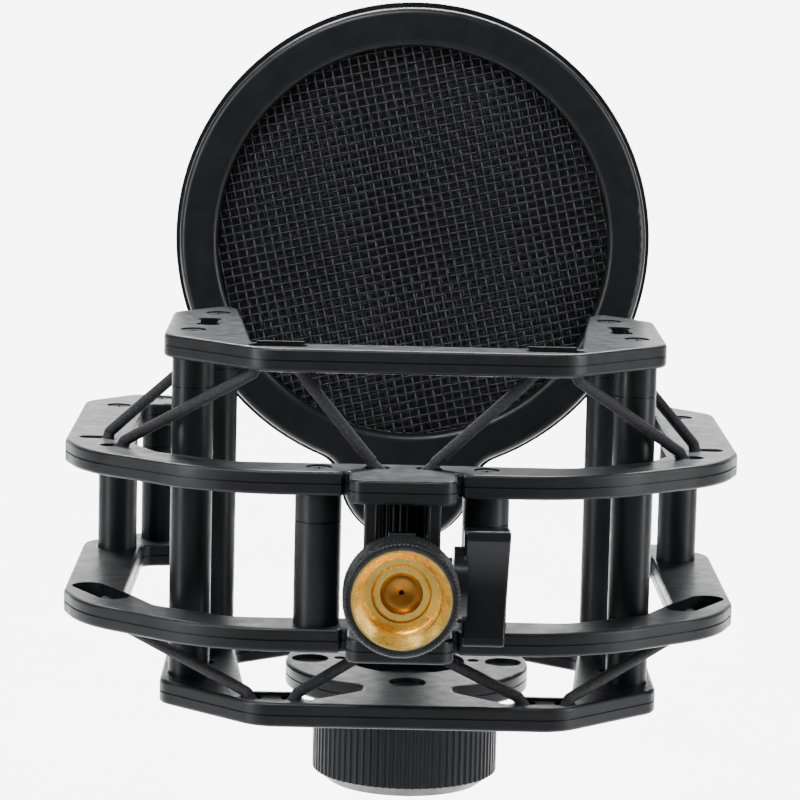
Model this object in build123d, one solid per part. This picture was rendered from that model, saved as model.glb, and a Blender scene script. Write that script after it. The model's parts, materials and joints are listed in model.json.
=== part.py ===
from build123d import *
import math
import os

# Microphone shock mount with a pop filter. Millimetres, +Z up.
# The origin is on the microphone's axis, at the top face of the cradle's lower plate.
# -Y is the side of the stand socket, +Y the side of the pop filter.

# Driving dimensions
FRAME_X = -2.2  # the elastics let the cradle hang this far to one side of the outer frame
RING_WIDTH = 140.2
RING_UPPER_Z = 42.7
RING_LOWER_Z = 10.8
RING_THICK = 4.9
CRADLE_UPPER_Z = 67.1
CRADLE_LOWER_Z = -5.0
CRADLE_UPPER_THICK = 4.8
CRADLE_LOWER_THICK = 5.0
EDGE_ROUND = 0.7
SEAM_WIDTH = 0.3
SEAM_DEPTH = 0.3
HUB_RADIUS = 25.7
HUB_BORE = 12.3
POST_RADIUS = 4.3
CENTRE_POST_RADIUS = 4.7
SCREW_HEAD_RADIUS = 2.6
SCREW_RADIUS = 1.2
SCREW_LENGTH = 14.0
SCREW_SINK = 1.6
NUT_RADIUS = 19.6
NUT_TOP = -5.3
NUT_HEIGHT = 20.2
NUT_CHAMFER = 2.4
NUT_FLUTES = 78
NUT_THREAD_RADIUS = 11.0
MIC_THREAD_RADIUS = 10.0
PIVOT_Y = -48.0
PIVOT_Z = 26.3
BOLT_RADIUS = 2.5
RUNNING_GAP = 0.05
BARREL_RADIUS = 11.6
BARREL_FRONT = -65.0
BARREL_BACK = -56.0
SOCKET_RADIUS = 7.9
BUSH_BORE = 4.2
EAR_INNER = 5.15
EAR_OUTER = 7.6
LEVER_X = 10.4
LEVER_LENGTH = 23.2
LEVER_DEPTH = 5.4
LEVER_BOW = 34.0
POP_FRONT = 56.5
POP_BACK = 65.0
POP_CENTRE_Z = 83.5
POP_RADIUS = 53.55
POP_OPENING = 43.9
POP_BLEND = 7.5
LOBE_RADIUS = 15.6
LOBE_Z = 29.8
MESH_RADIUS = 45.6
MESH_THICK = 0.8
CORD_RADIUS = 1.2
CORD_BEND = 2.1
KNOT_RADIUS = 2.2
SLOT_WIDTH = 3.6
BRACKET_SCREWS = (30.5, 37.0)
BRACKET_THICK = 3.0
BRACKET_WIDTH = 12.0
TONGUE_RADIUS = 10.2
TONGUE_TEETH = 30

os.makedirs("parts", exist_ok=True)


def save(name, shape):
    """Writes one node, which is already in place in the part's frame."""
    shape.label = name
    export_step(shape, f"parts/{name}.step")


def mirrored(half):
    """Closes the right half of an outline, listed as (x, y, corner radius), across x = 0."""
    return half + [(-x, y, r) for x, y, r in reversed(half)]


def outline(corners):
    """A face inside a closed polygon whose corners have the listed radii."""
    points = [(x, y) for x, y, r in corners]
    radii = [r for x, y, r in corners]
    return make_face(FilletPolyline(*points, radius=radii, close=True))


def slab(face, bottom, thick):
    """A moulded plate: rounded rims above and below, and a parting line round the middle."""
    plate = extrude(Pos(0, 0, bottom) * face, thick)
    rims = [e for e in plate.edges() if abs(e.center().Z - bottom - thick / 2) > thick / 2 - 0.01]
    plate = fillet(rims, EDGE_ROUND)
    seam_bottom = bottom + thick / 2 - SEAM_WIDTH / 2
    inside = offset(face, -SEAM_DEPTH)
    groove = extrude(Pos(0, 0, seam_bottom) * face, SEAM_WIDTH)
    groove -= extrude(Pos(0, 0, seam_bottom) * inside, SEAM_WIDTH)
    return plate - groove


def slot(x, y, length, turn, bottom, thick):
    """A cutter for a round-ended slot through a plate."""
    return extrude(Pos(x, y, bottom - 1) * Rot(0, 0, turn) * SlotOverall(length, SLOT_WIDTH), thick + 2)


def channel(start, end, bottom, deep, width=SLOT_WIDTH):
    """A cutter for the recess in which a cord lies between two slots."""
    length = math.dist(start, end)
    turn = math.degrees(math.atan2(end[1] - start[1], end[0] - start[0]))
    middle = ((start[0] + end[0]) / 2, (start[1] + end[1]) / 2)
    shape = Pos(middle[0], middle[1], bottom) * Rot(0, 0, turn) * Rectangle(length, width)
    return extrude(shape, deep)


def rod(radius, start, end):
    """A cylinder between two points."""
    direction = Vector(*end) - Vector(*start)
    return extrude(Plane(origin=start, z_dir=direction) * Circle(radius), direction.length)


# Where things stand in plan. Frame places count from the frame's own centre line.
FRAME_POSTS = {
    "centre": (16.8, -37.3, CENTRE_POST_RADIUS),
    "near": (62.3, 39.0, POST_RADIUS),
    "far": (53.5, 51.4, POST_RADIUS),
}
CRADLE_POSTS = {"near": (45.6, -15.0), "far": (41.7, 13.5)}
TAB_SLOT = (5.2, -36.8)
CORNER_SLOT = (59.2, -16.0)
SIDE_SLOT = (64.2, -6.0)
CORNER_CORD = (58.3, -15.8)
SIDE_CORD = (62.2, -6.0)
POCKET_ENDS = ((59.3, -14.8), (65.2, -4.8))
POCKET_WIDTH = 7.0
BAR_SLOTS = ((31.5, -37.0), (23.8, -37.0))
HOOK_SLOTS = ((43.0, -6.0), (43.0, 2.0))
SIDES = {"left": -1, "right": 1}

RING_OUTLINE = mirrored([
    (10.7, -52.5, 3.2),
    (10.7, -42.2, 0.5),
    (11.9, -42.2, 0.5),
    (11.9, -43.5, 0.5),
    (38.0, -43.5, 40.0),
    (66.0, -21.5, 26.0),
    (RING_WIDTH / 2, -9.0, 7.0),
    (RING_WIDTH / 2, 45.0, 8.0),
    (60.0, 56.2, 4.0),
    (46.5, 56.2, 3.0),
    (46.5, 43.5, 3.0),
    (56.8, 41.0, 3.0),
    (57.2, -9.5, 4.0),
    (50.0, -23.0, 5.0),
    (34.0, -32.4, 10.0),
])


def cord_slots(bottom, thick, recess_bottom, recess):
    """The slots and recesses that hold an elastic in a ring plate."""
    cutters = []
    for side in SIDES.values():
        for (x, y), length in ((TAB_SLOT, 5.4), (CORNER_SLOT, 6.4), (SIDE_SLOT, 6.4)):
            cutters.append(slot(FRAME_X + side * x, y, length, 0, bottom, thick))
        ends = [(FRAME_X + side * x, y) for x, y in POCKET_ENDS]
        cutters.append(channel(*ends, recess_bottom, recess, POCKET_WIDTH))
        cutters += [rod(POCKET_WIDTH / 2, (*end, recess_bottom), (*end, recess_bottom + recess)) for end in ends]
    left = (FRAME_X - TAB_SLOT[0], TAB_SLOT[1])
    cutters.append(channel(left, (FRAME_X + TAB_SLOT[0], TAB_SLOT[1]), recess_bottom, recess))
    return cutters


def screw_hole(x, y, top, thick):
    """The counterbored hole for a plate's screw."""
    hole = rod(SCREW_RADIUS + RUNNING_GAP, (x, y, top - thick - 1), (x, y, top + 1))
    return hole + rod(SCREW_HEAD_RADIUS + RUNNING_GAP, (x, y, top - SCREW_SINK), (x, y, top + 1))


def screw(x, y, top):
    """A cross-head screw whose head lies in its counterbore."""
    head = rod(SCREW_HEAD_RADIUS, (x, y, top - SCREW_SINK), (x, y, top - 0.3))
    head = fillet(head.edges().sort_by(Axis.Z)[-1], 0.4)
    shank = rod(SCREW_RADIUS, (x, y, top - SCREW_SINK - SCREW_LENGTH), (x, y, top - SCREW_SINK))
    cross = Pos(x, y, top - 0.65) * (Box(2.4, 0.5, 0.8) + Box(0.5, 2.4, 0.8))
    return head + shank - cross


def post(x, y, radius, bottom, top, seam):
    """A post with a line where the upper moulding's boss meets the lower moulding's sleeve."""
    shape = rod(radius, (x, y, bottom), (x, y, top))
    line = rod(radius + 1, (x, y, seam), (x, y, seam + SEAM_WIDTH))
    line -= rod(radius - SEAM_DEPTH, (x, y, seam), (x, y, seam + SEAM_WIDTH))
    pilot = rod(SCREW_RADIUS + RUNNING_GAP, (x, y, top - SCREW_LENGTH), (x, y, top))
    return shape - line - pilot


def outer_frame():
    """Two ring plates, six posts and their screws."""
    face = Pos(FRAME_X, 0) * outline(RING_OUTLINE)
    recess = RING_THICK - 1.4
    upper = slab(face, RING_UPPER_Z, RING_THICK)
    for cutter in cord_slots(RING_UPPER_Z, RING_THICK, RING_UPPER_Z, recess):
        upper -= cutter
    lower = slab(face, RING_LOWER_Z, RING_THICK)
    for cutter in cord_slots(RING_LOWER_Z, RING_THICK, RING_LOWER_Z + RING_THICK - recess, recess):
        lower -= cutter
    top = RING_UPPER_Z + RING_THICK
    for place, (x, y, radius) in FRAME_POSTS.items():
        for name, side in SIDES.items():
            at = FRAME_X + side * x
            upper -= screw_hole(at, y, top, RING_THICK)
            save(f"outer_screw_{place}_{name}", screw(at, y, top))
            bottom = RING_LOWER_Z + RING_THICK
            pillar = post(at, y, radius, bottom, RING_UPPER_Z, RING_UPPER_Z - 6)
            save(f"outer_post_{place}_{name}", pillar)
    save("outer_ring_upper", upper)
    save("outer_ring_lower", lower)


def yoke():
    """The two ears and the ribbed web between the frame's centre tabs, with the pivot bolt."""
    bottom = RING_LOWER_Z + RING_THICK
    height = RING_UPPER_Z - bottom
    for name, side in SIDES.items():
        middle = FRAME_X + side * (EAR_INNER + EAR_OUTER) / 2
        ear = Pos(middle, -45.2, bottom + height / 2) * Box(EAR_OUTER - EAR_INNER, 11.6, height)
        ear = fillet(ear.edges().filter_by(Axis.Z), 0.6)
        ear -= rod(BOLT_RADIUS + 0.02, (middle - 3, PIVOT_Y, PIVOT_Z), (middle + 3, PIVOT_Y, PIVOT_Z))
        save(f"yoke_ear_{name}", ear)
    web = Pos(FRAME_X, -33.9, bottom + height / 2) * Box(2 * EAR_INNER, 1.8, height)
    for i in range(7):
        x = FRAME_X - 4.2 + 1.4 * i
        web += rod(0.6, (x, -34.8, bottom), (x, -34.8, RING_UPPER_Z))
    save("yoke_web", web)
    axis = lambda x: (FRAME_X + x, PIVOT_Y, PIVOT_Z)
    bolt = rod(BOLT_RADIUS, axis(-9.4), axis(17.0)) + rod(4.4, axis(-9.4), axis(-EAR_OUTER))
    hexagon = Plane(origin=axis(-10), z_dir=(1, 0, 0)) * RegularPolygon(2.0, 6)
    save("pivot_bolt", bolt - extrude(hexagon, 2.2))
    washer = rod(5.4, axis(EAR_OUTER), axis(LEVER_X - 0.3)) - rod(BOLT_RADIUS + 0.02, axis(7), axis(11))
    save("lever_washer", washer)


def clamp_lever():
    """A round hub and a slightly bowed paddle that straddles the pivot and narrows downwards."""
    axis = lambda x: (FRAME_X + x, PIVOT_Y, PIVOT_Z)
    hub = rod(7.6, axis(LEVER_X), axis(LEVER_X + 2.6))
    side_view = Plane(origin=axis(0), x_dir=(0, 1, 0), z_dir=(1, 0, 0))
    front_view = Plane(origin=axis(0), x_dir=(1, 0, 0), z_dir=(0, -1, 0))
    left = LEVER_X + 1.8
    half = LEVER_LENGTH / 2
    paddle = extrude(side_view * Pos(-2.0, 0) * Rectangle(LEVER_DEPTH, LEVER_LENGTH), 30)
    bow_y = PIVOT_Y - 3.3 - LEVER_BOW
    paddle -= rod(LEVER_BOW, (FRAME_X, bow_y, PIVOT_Z), (FRAME_X + 30, bow_y, PIVOT_Z))
    front = make_face(Polyline((left, -half), (left + 8.4, -half), (left + 9.3, half), (left, half), close=True))
    paddle &= extrude(front_view * front, 12, both=True)
    paddle = fillet(paddle.edges(), 0.6)
    lever = hub + paddle
    lever -= rod(BOLT_RADIUS + RUNNING_GAP, axis(LEVER_X - 1), axis(17.3))
    save("clamp_lever", lever)


def stand_socket():
    """The tilting socket: a tongue between the ears, a knurled barrel and its brass threads."""
    axis = lambda x: (FRAME_X + x, PIVOT_Y, PIVOT_Z)
    out = lambda y: (FRAME_X, y, PIVOT_Z)
    tongue = rod(TONGUE_RADIUS, axis(-2.7), axis(2.7)) + rod(7.2, axis(-4.85), axis(4.85))
    for i in range(TONGUE_TEETH):
        turn = math.tau * i / TONGUE_TEETH
        if math.cos(turn) > -0.55:
            reach = TONGUE_RADIUS + 0.2
            notch = (PIVOT_Y + reach * math.cos(turn), PIVOT_Z + reach * math.sin(turn))
            tongue -= rod(0.5, (FRAME_X - 3, *notch), (FRAME_X + 3, *notch))
    neck_y = (PIVOT_Y + BARREL_BACK) / 2
    tongue += Pos(FRAME_X, neck_y, PIVOT_Z) * Box(9.0, PIVOT_Y - BARREL_BACK, 13.0)
    tongue -= Pos(FRAME_X, BARREL_BACK - 5, PIVOT_Z) * Box(30, 10, 30)
    tongue -= rod(BOLT_RADIUS + RUNNING_GAP, axis(-6), axis(6))
    save("socket_tongue", tongue)
    barrel = rod(BARREL_RADIUS, out(BARREL_BACK), out(BARREL_FRONT))
    barrel = chamfer(barrel.edges().filter_by(GeomType.CIRCLE), 0.5)
    pocket = BARREL_BACK - 0.8
    floor = BARREL_BACK - 2.4
    save("socket_barrel", barrel - rod(9.9, out(pocket), out(BARREL_FRONT - 1)))
    insert = rod(9.85, out(pocket), out(BARREL_FRONT + 0.1))
    insert -= rod(SOCKET_RADIUS, out(floor), out(BARREL_FRONT - 1))
    insert -= rod(5.9, out(BARREL_BACK), out(floor - 1))
    flare = Plane(origin=out(BARREL_FRONT + 1.9), z_dir=(0, -1, 0))
    insert -= loft([flare * Circle(SOCKET_RADIUS), flare.offset(1.9) * Circle(9.5)])
    save("socket_insert", insert)
    bush = rod(5.85, out(pocket), out(floor + 0.1))
    bush = chamfer(bush.edges().filter_by(GeomType.CIRCLE).sort_by(Axis.Y)[0], 0.5)
    save("socket_bush", bush - rod(BUSH_BORE, out(BARREL_BACK), out(BARREL_FRONT)))


CRADLE_OUTER = [(30.75, -42.0, 11.0), (51.3, -23.0, 6.0), (51.3, 14.0, 5.0)]
CRADLE_INNER = [(37.5, 20.0, 2.0), (33.0, -33.4, 2.5)]


def cradle_slots(bottom, thick, recess_bottom, recess):
    """The slots and recesses that hold an elastic in a cradle plate."""
    cutters = []
    for side in SIDES.values():
        for pair, length in ((BAR_SLOTS, SLOT_WIDTH + 0.6), (HOOK_SLOTS, 5.0)):
            places = [(side * x, y) for x, y in pair]
            cutters += [slot(x, y, length, 0, bottom, thick) for x, y in places]
            cutters.append(channel(places[0], places[1], recess_bottom, recess))
    return cutters


def cleats(z, height):
    """Low ribs beside the cords in the front corners."""
    return [Pos(side * 27.2, -34.4, z + height / 2) * Box(9.6, 1.0, height) for side in SIDES.values()]


def cradle():
    """The upper and lower plates, four posts and their screws."""
    top = CRADLE_UPPER_Z + CRADLE_UPPER_THICK
    arm_end = [(40.0, 26.5, 2.0)]
    face = outline(mirrored(CRADLE_OUTER + arm_end + CRADLE_INNER))
    upper = slab(face, CRADLE_UPPER_Z, CRADLE_UPPER_THICK)
    for rib in cleats(top - 1.0, 1.5):
        upper += rib
    recess = CRADLE_UPPER_THICK - 1.3
    for cutter in cradle_slots(CRADLE_UPPER_Z, CRADLE_UPPER_THICK, top - recess, recess + 2):
        upper -= cutter
    for place, (x, y) in CRADLE_POSTS.items():
        for name, side in SIDES.items():
            upper -= screw_hole(side * x, y, top, CRADLE_UPPER_THICK)
            save(f"cradle_screw_{place}_{name}", screw(side * x, y, top))
            pillar = post(side * x, y, POST_RADIUS, 0, CRADLE_UPPER_Z, CRADLE_UPPER_Z - 7)
            save(f"cradle_post_{place}_{name}", pillar)
    save("cradle_plate_upper", upper)
    save("cradle_plate_lower", cradle_plate_lower())


def cradle_plate_lower():
    """The lower plate: a closed frame with the microphone's hub carried on two necks."""
    far = [(17.0, 42.0, 6.0)]
    frame_face = outline(mirrored(CRADLE_OUTER + far))
    inner = [(12.0, 34.4, 3.0), (37.3, 13.7, 4.0), (33.0, -33.4, 2.5), (21.8, -33.4, 1.2), (19.9, -40.2, 0.5)]
    frame_face -= outline(mirrored(inner))
    hub = Circle(HUB_RADIUS)
    front_neck = outline(mirrored([(9.3, -20.0, 0.5), (9.3, -28.6, 3.0), (20.8, -38.8, 0.5), (20.8, -40.5, 0.5)]))
    back_neck = Pos(0, 29) * Rectangle(18, 20)
    face = frame_face + hub + front_neck + back_neck
    front = [v for v in face.vertices() if v.Y < -20]
    face = fillet([v for v in front if abs(math.hypot(v.X, v.Y) - HUB_RADIUS) < 0.01], 2.2)
    corners = [v for v in face.vertices() if abs(v.Y + 38.44) < 0.05 and abs(v.X) < 21]
    face = fillet(corners, 1.0)
    plate = slab(face, CRADLE_LOWER_Z, CRADLE_LOWER_THICK)
    for rib in cleats(-1.0, 1.6):
        plate += rib
    for cutter in cradle_slots(CRADLE_LOWER_Z, CRADLE_LOWER_THICK, CRADLE_LOWER_Z - 2, 3.9):
        plate -= cutter
    plate -= rod(HUB_BORE, (0, 0, -6), (0, 0, 1))
    for angle in (90, 180, 270, 360):
        x, y = 20.5 * math.cos(math.radians(angle)), 20.5 * math.sin(math.radians(angle))
        plate -= rod(3.9, (x, y, -0.9), (x, y, 1))
    for side in SIDES.values():
        plate -= rod(1.3, (side * 14.2, 1.0, -0.5), (side * 14.2, 1.0, 1))
    for y in BRACKET_SCREWS:
        plate -= rod(SCREW_RADIUS + RUNNING_GAP, (0, y, -6), (0, y, 1))
    return plate


def pop_bracket():
    """A flat steel bar that runs back from the hub and up behind the pop filter's lobe."""
    riser_front = POP_BACK + 0.3
    riser_back = riser_front + BRACKET_THICK
    foot = [(27.0, 0.0), (riser_back, 0.0), (riser_back, LOBE_Z + 7), (riser_front, LOBE_Z + 7)]
    foot += [(riser_front, BRACKET_THICK), (27.0, BRACKET_THICK)]
    side_view = Plane(origin=(-BRACKET_WIDTH / 2, 0, 0), x_dir=(0, 1, 0), z_dir=(1, 0, 0))
    bar = extrude(side_view * make_face(Polyline(*foot, close=True)), BRACKET_WIDTH)
    bend = [e for e in bar.edges().filter_by(Axis.X) if e.center().Y > riser_front - 0.1]
    bar = fillet([e for e in bend if e.center().Z < 1], 4.0)
    bar -= rod(BOLT_RADIUS + RUNNING_GAP, (0, 60, LOBE_Z), (0, 75, LOBE_Z))
    for y in BRACKET_SCREWS:
        bar -= rod(SCREW_RADIUS + RUNNING_GAP, (0, y, -1), (0, y, 9))
    save("pop_bracket", bar)
    for name, y in zip(("front", "back"), BRACKET_SCREWS):
        head = rod(2.4, (0, y, BRACKET_THICK), (0, y, BRACKET_THICK + 1.5))
        head += rod(SCREW_RADIUS, (0, y, CRADLE_LOWER_Z + 0.5), (0, y, BRACKET_THICK))
        save(f"bracket_screw_{name}", head - Pos(0, y, BRACKET_THICK + 1.5) * Box(4.8, 0.6, 1.2))


def pop_outline(radius, lobe):
    """A disc with a small round lobe below, blended by two hollow fillets."""
    drop = POP_CENTRE_Z - LOBE_Z
    from_disc = radius + POP_BLEND
    from_lobe = lobe + POP_BLEND
    y = -(drop**2 + from_disc**2 - from_lobe**2) / (2 * drop)
    x = math.sqrt(from_disc**2 - y**2)
    kite = make_face(Polyline((0, 0), (x, y), (0, -drop), (-x, y), close=True))
    face = Circle(radius) + Pos(0, -drop) * Circle(lobe) + kite
    return face - Pos(x, y) * Circle(POP_BLEND) - Pos(-x, y) * Circle(POP_BLEND)


def pop_filter():
    """Two mouldings that clamp two discs of wire mesh with a spacer between them."""
    middle = (POP_FRONT + POP_BACK) / 2
    upright = lambda y: Plane(origin=(0, y, POP_CENTRE_Z), x_dir=(1, 0, 0), z_dir=(0, -1, 0))
    bore = lambda radius, y0, y1: rod(radius, (0, y0, POP_CENTRE_Z), (0, y1, POP_CENTRE_Z))
    pin = rod(BOLT_RADIUS + RUNNING_GAP, (0, 58.5, LOBE_Z), (0, 70, LOBE_Z))
    back_face = middle - 0.1
    shape = upright(back_face) * pop_outline(POP_RADIUS - 1.0, LOBE_RADIUS - 0.8)
    bezel = extrude(shape, back_face - POP_FRONT)
    rim = [e for e in bezel.edges() if e.center().Y < POP_FRONT + 0.01]
    bezel = fillet(rim, 1.5)
    bezel -= bore(POP_OPENING, 50, 70)
    mouth = [e for e in bezel.edges().filter_by(GeomType.CIRCLE) if abs(e.radius - POP_OPENING) < 0.01]
    bezel = fillet([e for e in mouth if e.center().Y < POP_FRONT + 0.01], 1.8)
    bezel -= bore(MESH_RADIUS + 0.1, POP_FRONT + 2.1, 70)
    save("pop_bezel", bezel - pin)
    shell = extrude(upright(POP_BACK) * pop_outline(POP_RADIUS, LOBE_RADIUS), POP_BACK - middle)
    rim = [e for e in shell.edges() if e.center().Y > POP_BACK - 0.01]
    shell = fillet(rim, 1.5)
    shell -= bore(POP_OPENING, 50, 70) + bore(MESH_RADIUS + 0.1, 50, POP_BACK - 2.1)
    save("pop_shell", shell - pin)
    front = POP_FRONT + 2.15
    back = POP_BACK - 2.15
    save("pop_mesh_front", bore(MESH_RADIUS, front, front + MESH_THICK))
    save("pop_mesh_back", bore(MESH_RADIUS, back - MESH_THICK, back))
    spacer = bore(MESH_RADIUS, front + MESH_THICK + 0.05, back - MESH_THICK - 0.05)
    save("pop_spacer", spacer - bore(POP_OPENING + 0.4, 50, 70))


def thumbscrew():
    """The screw that holds the pop filter, with a knurled head behind the bracket."""
    seat = POP_BACK + BRACKET_THICK + 0.6
    at = lambda y: (0, y, LOBE_Z)
    knob = Circle(7.5) - PolarLocations(7.75, 24) * Circle(0.7)
    screw_shape = extrude(Plane(origin=at(seat), z_dir=(0, 1, 0)) * knob, 7.0)
    screw_shape += rod(BOLT_RADIUS, at(59.5), at(seat)) + rod(4.0, at(seat), at(seat + 8.5))
    save("pop_thumbscrew", screw_shape)


def locking_nut():
    """A fluted ring nut for the microphone's thread, with a metal thread insert."""
    straight = NUT_HEIGHT - NUT_CHAMFER
    fluted = Circle(NUT_RADIUS) - PolarLocations(NUT_RADIUS + 0.25, NUT_FLUTES) * Circle(0.62)
    nut = extrude(Pos(0, 0, NUT_TOP - straight) * fluted, straight)
    cone = Pos(0, 0, NUT_TOP - NUT_HEIGHT + NUT_CHAMFER / 2)
    nut += cone * Cone(NUT_RADIUS - 3.4, NUT_RADIUS - 0.3, NUT_CHAMFER)
    nut -= rod(NUT_THREAD_RADIUS, (0, 0, 0), (0, 0, -30))
    save("locking_nut", nut)
    insert = rod(NUT_THREAD_RADIUS, (0, 0, NUT_TOP - NUT_HEIGHT + 2), (0, 0, NUT_TOP))
    save("nut_insert", insert - rod(MIC_THREAD_RADIUS, (0, 0, 0), (0, 0, -30)))


def elastic_half(side, ring_turn, ring_out, bar_in, bar_turn, knot):
    """One side of an elastic's route, from its knot at the cradle's hook to the centre tab."""
    frame = lambda place: (FRAME_X + side * place[0], place[1])
    bar = lambda place: (side * place[0], place[1])
    return [
        (*bar(HOOK_SLOTS[1]), knot),
        (*bar(HOOK_SLOTS[1]), bar_turn),
        (*bar(HOOK_SLOTS[0]), bar_turn),
        (*bar(HOOK_SLOTS[0]), bar_in),
        (*frame(SIDE_CORD), ring_out),
        (*frame(SIDE_CORD), ring_turn),
        (*frame(CORNER_CORD), ring_turn),
        (*frame(CORNER_CORD), ring_out),
        (*bar(BAR_SLOTS[0]), bar_in),
        (*bar(BAR_SLOTS[0]), bar_turn),
        (*bar(BAR_SLOTS[1]), bar_turn),
        (*bar(BAR_SLOTS[1]), bar_in),
        (*frame(TAB_SLOT), ring_out),
        (*frame(TAB_SLOT), ring_turn),
    ]


def elastic(name, **heights):
    """A round elastic laced between the frame and the cradle, knotted at both ends."""
    left = elastic_half(-1, **heights)
    points = left + list(reversed(elastic_half(1, **heights)))
    path = FilletPolyline(*points, radius=CORD_BEND)
    section = Plane(origin=points[0], z_dir=path % 0) * Circle(CORD_RADIUS)
    cord = sweep(section, path=path)
    for end in (points[0], points[-1]):
        cord += Pos(*end) * Sphere(KNOT_RADIUS)
    save(name, cord)


def elastics():
    """The upper and lower elastics."""
    above = CRADLE_UPPER_Z - 1.7
    elastic(
        "elastic_upper",
        ring_turn=RING_UPPER_Z + 1.7,
        ring_out=RING_UPPER_Z + RING_THICK + 1.7,
        bar_in=above,
        bar_turn=CRADLE_UPPER_Z + CRADLE_UPPER_THICK - 1.7,
        knot=CRADLE_UPPER_Z - KNOT_RADIUS - 0.1,
    )
    elastic(
        "elastic_lower",
        ring_turn=RING_LOWER_Z + RING_THICK - 1.7,
        ring_out=RING_LOWER_Z - 1.7,
        bar_in=1.7,
        bar_turn=CRADLE_LOWER_Z + 0.6,
        knot=KNOT_RADIUS + 0.1,
    )


outer_frame()
yoke()
clamp_lever()
stand_socket()
cradle()
pop_bracket()
pop_filter()
thumbscrew()
locking_nut()
elastics()
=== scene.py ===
import json
import math

import bpy
from mathutils import Matrix, Vector


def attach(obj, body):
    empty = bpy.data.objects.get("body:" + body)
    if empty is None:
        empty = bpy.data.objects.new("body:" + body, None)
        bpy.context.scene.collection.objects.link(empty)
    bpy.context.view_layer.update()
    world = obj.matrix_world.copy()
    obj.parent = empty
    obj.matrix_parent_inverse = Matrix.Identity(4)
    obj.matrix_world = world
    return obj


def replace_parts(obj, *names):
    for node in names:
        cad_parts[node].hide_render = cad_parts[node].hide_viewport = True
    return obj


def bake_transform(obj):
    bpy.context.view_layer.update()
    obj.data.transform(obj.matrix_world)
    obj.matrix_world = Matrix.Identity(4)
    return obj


# Shapes are listed in millimetres, and MM turns them into metres.
# The floor, the lights and the camera are listed in metres.
MM = 0.001
FRAME_X = -2.2
PIVOT_Z = 26.3
POP_CENTRE_Z = 83.5

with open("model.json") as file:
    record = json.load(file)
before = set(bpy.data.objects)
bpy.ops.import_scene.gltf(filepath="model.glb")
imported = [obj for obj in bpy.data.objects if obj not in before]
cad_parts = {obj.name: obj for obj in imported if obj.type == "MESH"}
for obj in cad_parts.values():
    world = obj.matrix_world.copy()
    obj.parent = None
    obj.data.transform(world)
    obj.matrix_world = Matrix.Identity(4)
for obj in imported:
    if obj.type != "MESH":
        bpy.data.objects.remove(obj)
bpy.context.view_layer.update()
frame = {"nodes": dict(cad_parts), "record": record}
nodes = frame["nodes"]


# ---------------------------------------------------------------- materials


class Shader:
    """A material's node tree, with short names for the nodes it is made of."""

    def __init__(self, name):
        self.material = bpy.data.materials.new(name)
        self.material.use_nodes = True
        self.tree = self.material.node_tree
        self.surface = self.tree.nodes["Principled BSDF"]
        place = self.add("ShaderNodeTexCoord").outputs["Object"]
        self.mm = self.mapping(place, scale=(1000, 1000, 1000))

    def add(self, kind, **settings):
        node = self.tree.nodes.new(kind)
        for key, value in settings.items():
            setattr(node, key, value)
        return node

    def link(self, output, socket):
        self.tree.links.new(output, socket)

    def mapping(self, vector, scale=(1, 1, 1), move=(0, 0, 0)):
        node = self.add("ShaderNodeMapping")
        node.inputs["Scale"].default_value = scale
        node.inputs["Location"].default_value = move
        self.link(vector, node.inputs["Vector"])
        return node.outputs["Vector"]

    def noise(self, per_mm, detail=3.0):
        node = self.add("ShaderNodeTexNoise")
        node.inputs["Scale"].default_value = per_mm
        node.inputs["Detail"].default_value = detail
        self.link(self.mm, node.inputs["Vector"])
        return node.outputs["Fac"]

    def rings(self, per_mm, direction, vector):
        node = self.add("ShaderNodeTexWave", wave_type="RINGS")
        node.rings_direction = direction
        node.inputs["Scale"].default_value = per_mm
        self.link(vector, node.inputs["Vector"])
        return node.outputs["Fac"]

    def span(self, value, low, high):
        """Maps a texture's middle range onto low..high."""
        node = self.add("ShaderNodeMapRange")
        node.inputs["From Min"].default_value = 0.3
        node.inputs["From Max"].default_value = 0.7
        node.inputs["To Min"].default_value = low
        node.inputs["To Max"].default_value = high
        self.link(value, node.inputs["Value"])
        return node.outputs["Result"]

    def tint(self, value, dark, light, start=0.3, end=0.7):
        """Maps a texture's values from start to end onto two colours."""
        node = self.add("ShaderNodeValToRGB")
        node.color_ramp.elements[0].position = start
        node.color_ramp.elements[0].color = (*dark, 1)
        node.color_ramp.elements[1].position = end
        node.color_ramp.elements[1].color = (*light, 1)
        self.link(value, node.inputs["Fac"])
        return node.outputs["Color"]

    def bump(self, height, depth_mm, strength, normal=None):
        node = self.add("ShaderNodeBump")
        node.inputs["Distance"].default_value = depth_mm * MM
        node.inputs["Strength"].default_value = strength
        self.link(height, node.inputs["Height"])
        if normal is not None:
            self.link(normal, node.inputs["Normal"])
        return node.outputs["Normal"]

    def put(self, name, value):
        """Sets a surface input to a number or to another node's output."""
        socket = self.surface.inputs[name]
        if isinstance(value, bpy.types.NodeSocket):
            self.link(value, socket)
        else:
            socket.default_value = value


def plastic(name, dark, light, rough, grain_mm=0.012):
    """Moulded plastic: a fine grain, soft flow marks and a faint film of handling."""
    s = Shader(name)
    flow = s.noise(per_mm=0.06, detail=4.0)
    film = s.noise(per_mm=0.35, detail=5.0)
    s.put("Base Color", s.tint(flow, dark, light))
    s.put("Roughness", s.span(film, rough - 0.06, rough + 0.07))
    waves = s.bump(s.noise(per_mm=0.12, detail=2.0), depth_mm=0.05, strength=0.5)
    grain = s.noise(per_mm=5.0, detail=2.0)
    s.put("Normal", s.bump(grain, grain_mm, strength=0.7, normal=waves))
    s.put("Specular IOR Level", 0.3)
    return s.material


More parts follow.
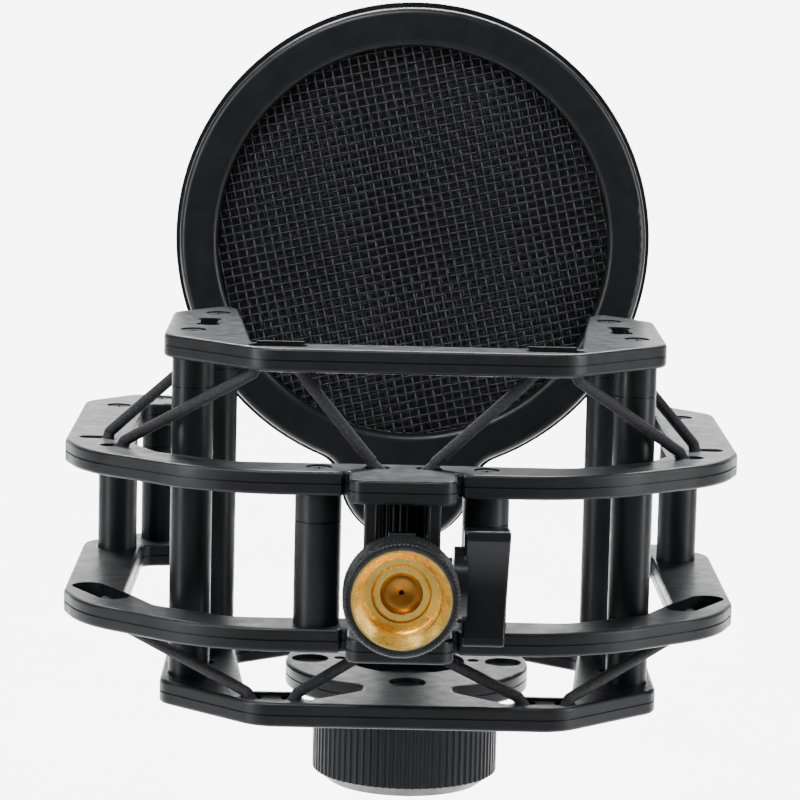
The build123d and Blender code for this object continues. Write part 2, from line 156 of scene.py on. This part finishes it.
def dark_metal(name, dark, light, rough, grain_per_mm=9.0, metallic=0.6):
    """Blackened or coated metal with a fine tooth and slightly worn patches."""
    s = Shader(name)
    wear = s.noise(per_mm=0.5, detail=6.0)
    s.put("Base Color", s.tint(wear, dark, light, start=0.35, end=0.75))
    s.put("Metallic", metallic)
    s.put("Roughness", s.span(s.noise(per_mm=1.3), rough - 0.07, rough + 0.08))
    s.put("Normal", s.bump(s.noise(grain_per_mm), depth_mm=0.01, strength=0.7))
    return s.material


def turned_metal(name, dark, light, rough, centre, direction):
    """Metal turned on a lathe: fine rings round its axis and a faint clouding."""
    s = Shader(name)
    about = s.mapping(s.mm, move=tuple(-c for c in centre))
    rings = s.rings(3.0, direction, about)
    s.put("Base Color", s.tint(s.noise(per_mm=0.16), dark, light))
    s.put("Metallic", 1.0)
    s.put("Roughness", s.span(s.noise(per_mm=0.5), rough - 0.04, rough + 0.06))
    s.put("Normal", s.bump(rings, depth_mm=0.005, strength=0.5))
    return s.material


def braid_cloth(name):
    """Black braided cover of an elastic: fibres along each strand and paler high spots."""
    s = Shader(name)
    fibres = s.noise(per_mm=14.0, detail=4.0)
    patches = s.noise(per_mm=2.2, detail=4.0)
    s.put("Base Color", s.tint(patches, (0.006, 0.006, 0.007), (0.028, 0.028, 0.031)))
    s.put("Roughness", s.span(fibres, 0.62, 0.85))
    s.put("Normal", s.bump(fibres, depth_mm=0.03, strength=0.8))
    s.put("Specular IOR Level", 0.35)
    return s.material


INK = (0.0035, 0.0042, 0.0056)
INK_LIGHT = (0.0055, 0.0064, 0.0082)
LEVER_INK = (0.005, 0.0055, 0.007)
LEVER_INK_LIGHT = (0.007, 0.0075, 0.009)
STEEL = (0.012, 0.012, 0.014)
STEEL_WORN = (0.05, 0.05, 0.055)
SOCKET_COAT = (0.01, 0.0105, 0.012)
SOCKET_COAT_WORN = (0.02, 0.021, 0.024)
COAT = (0.01, 0.01, 0.012)
BRACKET_COAT_WORN = (0.018, 0.018, 0.021)
WIRE_WORN = (0.022, 0.022, 0.025)
THREAD_METAL = (0.03, 0.03, 0.033)
THREAD_METAL_LIGHT = (0.08, 0.08, 0.085)
BRASS = (0.9, 0.6, 0.13)
BRASS_LIGHT = (0.96, 0.7, 0.2)
# The next two colours are the brass darkened as painted shade, for the floor at the bottom of
# the bush's bore.
SHADED_BRASS = (0.3, 0.13, 0.025)
SHADED_BRASS_LIGHT = (0.42, 0.2, 0.04)
BARREL_CENTRE = (FRAME_X, 0, PIVOT_Z)
NUT_CENTRE = (0, 0, 0)

LOOKS = {
    "frame_plastic": plastic("frame plastic", INK, INK_LIGHT, rough=0.4),
    "cradle_plastic": plastic("cradle plastic", INK, INK_LIGHT, rough=0.38),
    "nut_plastic": plastic("nut plastic", INK, INK_LIGHT, rough=0.42),
    "filter_plastic": plastic("filter plastic", INK, INK_LIGHT, rough=0.36, grain_mm=0.008),
    "lever_plastic": plastic(
        "lever plastic", LEVER_INK, LEVER_INK_LIGHT, rough=0.2, grain_mm=0.004
    ),
    "dark_steel": dark_metal("dark steel", STEEL, STEEL_WORN, rough=0.34),
    "socket_metal": dark_metal("socket metal", SOCKET_COAT, SOCKET_COAT_WORN, rough=0.38),
    "bracket_metal": dark_metal(
        "bracket coat", COAT, BRACKET_COAT_WORN, rough=0.45, grain_per_mm=4.0, metallic=0.1
    ),
    "filter_mesh": dark_metal("mesh wire", COAT, WIRE_WORN, rough=0.4, metallic=0.3),
    "nut_thread": turned_metal(
        "nut thread", THREAD_METAL, THREAD_METAL_LIGHT, 0.35, NUT_CENTRE, "Z"
    ),
    "brass": turned_metal("brass", BRASS, BRASS_LIGHT, 0.27, BARREL_CENTRE, "Y"),
    "elastic_cord": braid_cloth("elastic braid"),
    # deep_brass: a darker copy of the brass, painted shade for the bottom of the bore.
    "deep_brass": turned_metal(
        "brass darkened as painted shade", SHADED_BRASS, SHADED_BRASS_LIGHT, 0.4, BARREL_CENTRE, "Y"
    ),
}


def paint(obj, slot_name):
    """Gives a mesh one of the looks, in place of what it had."""
    obj.data.materials.clear()
    obj.data.materials.append(LOOKS[slot_name])


for part in frame["record"]["subparts"]:
    paint(nodes[part["node"]], part["material_slot"])


# ---------------------------------------------------------------- mesh helpers


def piece(name, points, faces, slot_name, body, smooth=True):
    """A new mesh with one of the looks, which rides on a body if one is named."""
    mesh = bpy.data.meshes.new(name)
    mesh.from_pydata([Vector(p) * MM for p in points], [], faces)
    mesh.polygons.foreach_set("use_smooth", [smooth] * len(mesh.polygons))
    mesh.update()
    obj = bpy.data.objects.new(name, mesh)
    bpy.context.scene.collection.objects.link(obj)
    paint(obj, slot_name)
    if body:
        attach(obj, body)
    return obj


def skin(rows, around, closed_rows=False):
    """Quads between successive rings of points, each with the same number of points."""
    faces = []
    last = rows if closed_rows else rows - 1
    for i in range(last):
        a = i * around
        b = ((i + 1) % rows) * around
        for j in range(around):
            k = (j + 1) % around
            faces.append((a + j, a + k, b + k, b + j))
    return faces


def end_caps(rows, around):
    """The two faces that close a skin at its first and last ring."""
    first = tuple(reversed(range(around)))
    last = tuple(range((rows - 1) * around, rows * around))
    return [first, last]


def turned_rings(profile, around, centre_x, centre_z, relief=None):
    """Rings of points round an axis along Y, one for each (radius, y) of a profile."""
    points = []
    for radius, y in profile:
        for j in range(around):
            turn = math.tau * j / around
            reach = radius - relief(radius, y, turn) if relief else radius
            x = centre_x + reach * math.cos(turn)
            z = centre_z + reach * math.sin(turn)
            points.append((x, y, z))
    return points


def tube(path, radius_at, around):
    """Points and faces of a tube along a path, with its radius a function of ring and turn."""
    points = []
    side = None
    for i, at in enumerate(path):
        ahead = (path[min(i + 1, len(path) - 1)] - path[max(i - 1, 0)]).normalized()
        if side is None:
            side = ahead.orthogonal()
        side = (side - ahead * side.dot(ahead)).normalized()
        up = ahead.cross(side)
        for j in range(around):
            turn = math.tau * j / around
            reach = radius_at(i, turn)
            points.append(at + side * (reach * math.cos(turn)) + up * (reach * math.sin(turn)))
    return points, skin(len(path), around) + end_caps(len(path), around)


# ---------------------------------------------------------------- pop filter mesh

WIRE_RADIUS = (0.19, 0.25)
WIRE_CRIMP = (0.19, 0.27)
WIRE_SIDES = 5
WEAVE_PITCH = (1.88, 2.07)
STEPS_PER_CROSSING = 4
MESH_REACH = 44.2
LINING_RADIUS = 44.0
LINING_FRONT = 61.1
LINING_BACK = 61.3
LINING_SIDES = 96


def woven_disc(name, middle_y, turn_degrees):
    """A disc of plain-woven wire: two families of wires that pass over and under."""
    turn = math.radians(turn_degrees)
    points, faces = [], []
    for family in (0, 1):
        pitch = WEAVE_PITCH[family]
        crossing = WEAVE_PITCH[1 - family]
        count = int(MESH_REACH / pitch)
        for index in range(-count, count + 1):
            across = index * pitch
            half = math.sqrt(max(MESH_REACH**2 - across**2, 1.0))
            steps = int(half / (crossing / STEPS_PER_CROSSING))
            path = []
            for step in range(-steps, steps + 1):
                along = step * crossing / STEPS_PER_CROSSING
                lift = WIRE_CRIMP[family] * math.cos(math.pi * along / crossing)
                lift *= (-1) ** (index + family)
                flat = (along, across) if family == 0 else (across, along)
                x = flat[0] * math.cos(turn) - flat[1] * math.sin(turn)
                z = flat[0] * math.sin(turn) + flat[1] * math.cos(turn)
                path.append(Vector((x, middle_y + lift, POP_CENTRE_Z + z)))
            wire_points, wire_faces = tube(path, lambda i, t: WIRE_RADIUS[family], WIRE_SIDES)
            start = len(points)
            points += wire_points
            faces += [tuple(start + v for v in face) for face in wire_faces]
    return piece(name, points, faces, "filter_mesh", "pop_filter")


def lining():
    """The thin dark cloth that stands between the wire layers."""
    profile = [(LINING_RADIUS, LINING_FRONT), (LINING_RADIUS, LINING_BACK)]
    points = turned_rings(profile, LINING_SIDES, 0, POP_CENTRE_Z)
    faces = skin(len(profile), LINING_SIDES) + end_caps(len(profile), LINING_SIDES)
    piece("filter_lining", points, faces, "elastic_cord", "pop_filter", smooth=False)


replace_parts(woven_disc("woven_front", 59.1, 12.5), "pop_mesh_front")
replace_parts(woven_disc("woven_back", 62.45, 15.0), "pop_mesh_back")
woven_disc("woven_inner", 60.3, 15.5)
lining()


# ---------------------------------------------------------------- elastics

CORD_RADIUS = 1.2
CORD_BEND = 2.1
CORD_STEP = 0.2
CORD_SIDES = 32
STRANDS = 6
STRAND_PITCH = 1.9
STRAND_DEPTH = 0.16
STRAND_CLEARANCE = 0.02

TAB_SLOT = (5.2, -36.8)
CORNER_CORD = (58.3, -15.8)
SIDE_CORD = (62.2, -6.0)
BAR_SLOTS = ((31.5, -37.0), (23.8, -37.0))
HOOK_SLOTS = ((43.0, -6.0), (43.0, 2.0))

KNOT_STEPS = 150
KNOT_SIDES = 16
KNOT_WIDTH = 0.36
KNOT_LIFT = 0.7
KNOT_CORD_RADIUS = 0.85
KNOT_RELIEF = 0.05


def half_route(side, ring_turn, ring_out, bar_in, bar_turn, knot):
    """One side of an elastic's route, from its knot at the cradle's hook to the tab."""

    def on_frame(place, z):
        return Vector((FRAME_X + side * place[0], place[1], z))

    def on_bar(place, z):
        return Vector((side * place[0], place[1], z))

    return [
        on_bar(HOOK_SLOTS[1], knot),
        on_bar(HOOK_SLOTS[1], bar_turn),
        on_bar(HOOK_SLOTS[0], bar_turn),
        on_bar(HOOK_SLOTS[0], bar_in),
        on_frame(SIDE_CORD, ring_out),
        on_frame(SIDE_CORD, ring_turn),
        on_frame(CORNER_CORD, ring_turn),
        on_frame(CORNER_CORD, ring_out),
        on_bar(BAR_SLOTS[0], bar_in),
        on_bar(BAR_SLOTS[0], bar_turn),
        on_bar(BAR_SLOTS[1], bar_turn),
        on_bar(BAR_SLOTS[1], bar_in),
        on_frame(TAB_SLOT, ring_out),
        on_frame(TAB_SLOT, ring_turn),
    ]


def rounded(corners):
    """The route with each corner turned in an arc, as points a short step apart."""
    bent = [corners[0]]
    for before, corner, after in zip(corners, corners[1:], corners[2:]):
        back = (before - corner).normalized()
        on = (after - corner).normalized()
        half_angle = back.angle(on) / 2
        cut = CORD_BEND / math.tan(half_angle)
        centre = corner + (back + on).normalized() * (CORD_BEND / math.sin(half_angle))
        start = corner + back * cut - centre
        end = corner + on * cut - centre
        steps = max(3, int(CORD_BEND * start.angle(end) / CORD_STEP))
        bent += [centre + start.slerp(end, i / steps) for i in range(steps + 1)]
    bent.append(corners[-1])
    path = [bent[0]]
    for a, b in zip(bent, bent[1:]):
        count = max(1, round((b - a).length / CORD_STEP))
        path += [a.lerp(b, i / count) for i in range(1, count + 1)]
    return path


def braid_radius(ring, turn):
    """Relief of a braid: strands that wind both ways and pass over and under each other."""
    along = ring * CORD_STEP / STRAND_PITCH
    one = math.cos(STRANDS * turn + math.tau * along)
    two = math.cos(STRANDS * turn - math.tau * along)
    return CORD_RADIUS - STRAND_CLEARANCE - STRAND_DEPTH * (1 - max(abs(one), abs(two)))


def knot_radius(ring, turn):
    """The knot's cord, with a light relief that winds along it."""
    return KNOT_CORD_RADIUS + KNOT_RELIEF * math.cos(8 * turn + ring * 0.9)


def knot(name, centre):
    """A tight overhand knot, as a three-crossing loop of the same cord."""
    path = []
    for i in range(KNOT_STEPS):
        t = math.tau * i / KNOT_STEPS
        x = math.sin(t) + 2 * math.sin(2 * t)
        y = math.cos(t) - 2 * math.cos(2 * t)
        z = -math.sin(3 * t)
        path.append(centre + Vector((x * KNOT_WIDTH, y * KNOT_WIDTH, z * KNOT_LIFT)))
    points, faces = tube(path, knot_radius, KNOT_SIDES)
    piece(name, points, faces, "elastic_cord", "cradle")


def elastic(name, node, **heights):
    """A braided elastic that gives between frame and cradle, with its two end knots."""
    corners = half_route(-1, **heights) + list(reversed(half_route(1, **heights)))
    points, faces = tube(rounded(corners), braid_radius, CORD_SIDES)
    obj = piece(name, points, faces, "elastic_cord", None)
    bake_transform(obj)
    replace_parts(obj, node)
    for end_name, end in (("left", corners[0]), ("right", corners[-1])):
        knot(f"{name}_knot_{end_name}", end)


elastic(
    "braid_upper",
    "elastic_upper",
    ring_turn=44.4,
    ring_out=49.3,
    bar_in=65.4,
    bar_turn=70.2,
    knot=64.8,
)
elastic(
    "braid_lower",
    "elastic_lower",
    ring_turn=14.0,
    ring_out=9.1,
    bar_in=1.7,
    bar_turn=-4.4,
    knot=2.3,
)


# ---------------------------------------------------------------- stand socket

KNURL_TEETH = 86
KNURL_RADIUS = 11.6
KNURL_PITCH = 0.85
KNURL_DEPTH = 0.42
KNURL_START = -64.5
KNURL_LENGTH = 8.0
KNURL_ROWS = 60

THREAD_STEPS_PER_TURN = 72
THREAD_FADE_STEPS = 20
THREAD_ROOT = 0.05
THREAD_HALF_FOOT = 0.45
THREAD_HALF_CREST = 0.06
THREAD_FILL = 0.95

BUSH_FLOOR_SIDES = 64


def knurl_relief(radius, y, turn):
    """How far the diamond knurl cuts in; the barrel's other faces stay smooth."""
    if radius != KNURL_RADIUS:
        return 0
    one = math.cos(KNURL_TEETH * turn / 2 + math.pi * y / KNURL_PITCH)
    two = math.cos(KNURL_TEETH * turn / 2 - math.pi * y / KNURL_PITCH)
    return KNURL_DEPTH * (1 - abs(one * two))


def knurled_barrel():
    """The socket's barrel with a pointed diamond knurl, in place of the smooth one."""
    around = KNURL_TEETH * 8
    profile = [(9.9, -64.9), (9.95, -65.0), (11.1, -65.0)]
    for i in range(KNURL_ROWS + 1):
        profile.append((KNURL_RADIUS, KNURL_START + KNURL_LENGTH * i / KNURL_ROWS))
    profile += [(11.1, -56.0), (4.0, -56.0), (4.0, -56.8), (9.9, -56.8)]
    points = turned_rings(profile, around, FRAME_X, PIVOT_Z, knurl_relief)
    faces = skin(len(profile), around, closed_rows=True)
    obj = piece("knurled_barrel", points, faces, "socket_metal", "stand_socket")
    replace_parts(obj, "socket_barrel")


def bush_floor():
    """The shallow cone with a small centre hole at the bottom of the reducer bush, in a darker
    copy of the brass that paints the shade at the bottom of the bore.
    """
    profile = [(4.25, -56.85), (4.25, -57.3), (2.6, -57.0), (0.55, -56.9), (0.5, -56.85)]
    points = turned_rings(profile, BUSH_FLOOR_SIDES, FRAME_X, PIVOT_Z)
    faces = skin(len(profile), BUSH_FLOOR_SIDES, closed_rows=True)
    # Painted shade: the bush floor gets the darkened copy of the brass.
    obj = piece("bush_floor", points, faces, "deep_brass", "stand_socket")


def thread_turns(name, slot_name, body, centre, axis, radius, length, pitch, depth):
    """The ridge of an internal thread, wound inside a bore of the given radius."""
    across = Vector(axis).orthogonal().normalized()
    other = Vector(axis).cross(across)
    section = (
        (THREAD_ROOT, -THREAD_HALF_FOOT),
        (-depth, -THREAD_HALF_CREST),
        (-depth, THREAD_HALF_CREST),
        (THREAD_ROOT, THREAD_HALF_FOOT),
    )
    points = []
    rows = int(length / pitch * THREAD_STEPS_PER_TURN)
    for i in range(rows + 1):
        turn = math.tau * i / THREAD_STEPS_PER_TURN
        out = across * math.cos(turn) + other * math.sin(turn)
        fade = max(min(1.0, i / THREAD_FADE_STEPS, (rows - i) / THREAD_FADE_STEPS), 0.05)
        for reach, along in section:
            rise = (i / THREAD_STEPS_PER_TURN * pitch) + along * pitch * THREAD_FILL
            points.append(Vector(centre) + Vector(axis) * rise + out * (radius + reach * fade))
    faces = skin(rows + 1, len(section))
    piece(name, points, faces, slot_name, body, smooth=False)


knurled_barrel()
bush_floor()
thread_turns(
    "stand_thread",
    "brass",
    "stand_socket",
    centre=(FRAME_X, -58.8, PIVOT_Z),
    axis=(0, -1, 0),
    radius=7.9,
    length=4.2,
    pitch=0.94,
    depth=0.22,
)
thread_turns(
    "nut_thread_turns",
    "nut_thread",
    "locking_nut",
    centre=(0, 0, -23.0),
    axis=(0, 0, 1),
    radius=10.0,
    length=17.2,
    pitch=1.2,
    depth=0.5,
)


# ---------------------------------------------------------------- floor, light and camera

FLOOR_HALF_WIDTH = 2.0
FLOOR_NEAR = -2.5
FLOOR_TURN_Y = 2.0
FLOOR_LOW = -0.42
FLOOR_HIGH = 0.5
FLOOR_BEND = 0.4
FLOOR_BEND_STEPS = 16

CAMERA_PLACE = (-0.0111, -0.7285, 0.1640)
CAMERA_FORWARD = (0.01139, 0.98910, -0.14677)
CAMERA_ROLL = math.radians(1.37)
CAMERA_LENS = 157.5
CAMERA_SENSOR = 36.0

LIGHT_AIM = (0.0, 0.0, 0.05)


def floor():
    """A plain pale sheet below the mount that sweeps up behind it."""
    profile = [(FLOOR_NEAR, FLOOR_LOW), (FLOOR_TURN_Y, FLOOR_LOW)]
    for i in range(1, FLOOR_BEND_STEPS + 1):
        angle = math.pi / 2 * i / FLOOR_BEND_STEPS
        y = FLOOR_TURN_Y + FLOOR_BEND * math.sin(angle)
        z = FLOOR_LOW + FLOOR_BEND * (1 - math.cos(angle))
        profile.append((y, z))
    profile.append((FLOOR_TURN_Y + FLOOR_BEND, FLOOR_HIGH))
    points = [(x, y, z) for y, z in profile for x in (-FLOOR_HALF_WIDTH, FLOOR_HALF_WIDTH)]
    faces = [(2 * i, 2 * i + 1, 2 * i + 3, 2 * i + 2) for i in range(len(profile) - 1)]
    mesh = bpy.data.meshes.new("floor")
    mesh.from_pydata(points, [], faces)
    mesh.polygons.foreach_set("use_smooth", [True] * len(mesh.polygons))
    obj = bpy.data.objects.new("floor", mesh)
    bpy.context.scene.collection.objects.link(obj)
    s = Shader("pale floor")
    s.put("Base Color", s.tint(s.noise(per_mm=0.01), (0.9, 0.9, 0.9), (0.93, 0.93, 0.93)))
    s.put("Roughness", 0.9)
    s.put("Specular IOR Level", 0.1)
    obj.data.materials.append(s.material)


def softbox(name, place, look_at, width, height, power):
    """A rectangular studio light that faces a point."""
    light = bpy.data.lights.new(name, "AREA")
    light.shape = "RECTANGLE"
    light.size = width
    light.size_y = height
    light.energy = power
    obj = bpy.data.objects.new(name, light)
    bpy.context.scene.collection.objects.link(obj)
    obj.location = place
    obj.rotation_euler = (Vector(look_at) - Vector(place)).to_track_quat("-Z", "Y").to_euler()


def sky():
    """A pale surround behind the mount that darkens towards the viewer."""
    world = bpy.data.worlds.new("surround")
    world.use_nodes = True
    tree = world.node_tree
    back = tree.nodes["Background"]
    direction = tree.nodes.new("ShaderNodeTexCoord")
    split = tree.nodes.new("ShaderNodeSeparateXYZ")
    ramp = tree.nodes.new("ShaderNodeMapRange")
    ramp.inputs["From Min"].default_value = -0.1
    ramp.inputs["From Max"].default_value = 0.5
    ramp.inputs["To Min"].default_value = 0.2
    ramp.inputs["To Max"].default_value = 0.5
    tree.links.new(direction.outputs["Generated"], split.inputs["Vector"])
    tree.links.new(split.outputs["Y"], ramp.inputs["Value"])
    tree.links.new(ramp.outputs["Result"], back.inputs["Strength"])
    back.inputs["Color"].default_value = (1.0, 1.0, 1.0, 1)
    bpy.context.scene.world = world


def camera():
    """The view of the mount from in front of its stand socket and a little above."""
    data = bpy.data.cameras.new("camera")
    data.sensor_width = CAMERA_SENSOR
    data.lens = CAMERA_LENS
    obj = bpy.data.objects.new("camera", data)
    bpy.context.scene.collection.objects.link(obj)
    forward = Vector(CAMERA_FORWARD).normalized()
    level = forward.cross(Vector((0, 0, 1))).normalized()
    upright = level.cross(forward)
    right = level * math.cos(CAMERA_ROLL) + upright * math.sin(CAMERA_ROLL)
    up = right.cross(forward)
    turn = Matrix((right, up, -forward)).transposed().to_4x4()
    obj.matrix_world = Matrix.Translation(CAMERA_PLACE) @ turn
    bpy.context.scene.camera = obj


floor()
sky()
camera()
softbox("left strip", (-0.9, -0.5, 0.3), LIGHT_AIM, width=0.14, height=1.0, power=10.0)
softbox("right strip", (0.95, -0.35, 0.3), LIGHT_AIM, width=0.14, height=1.0, power=10.0)
softbox("front top", (-0.25, -0.5, 0.85), LIGHT_AIM, width=0.5, height=0.3, power=9.0)
softbox("backdrop light", (0.0, 1.2, 1.4), (0.0, 2.1, -0.3), width=1.8, height=0.5, power=300.0)
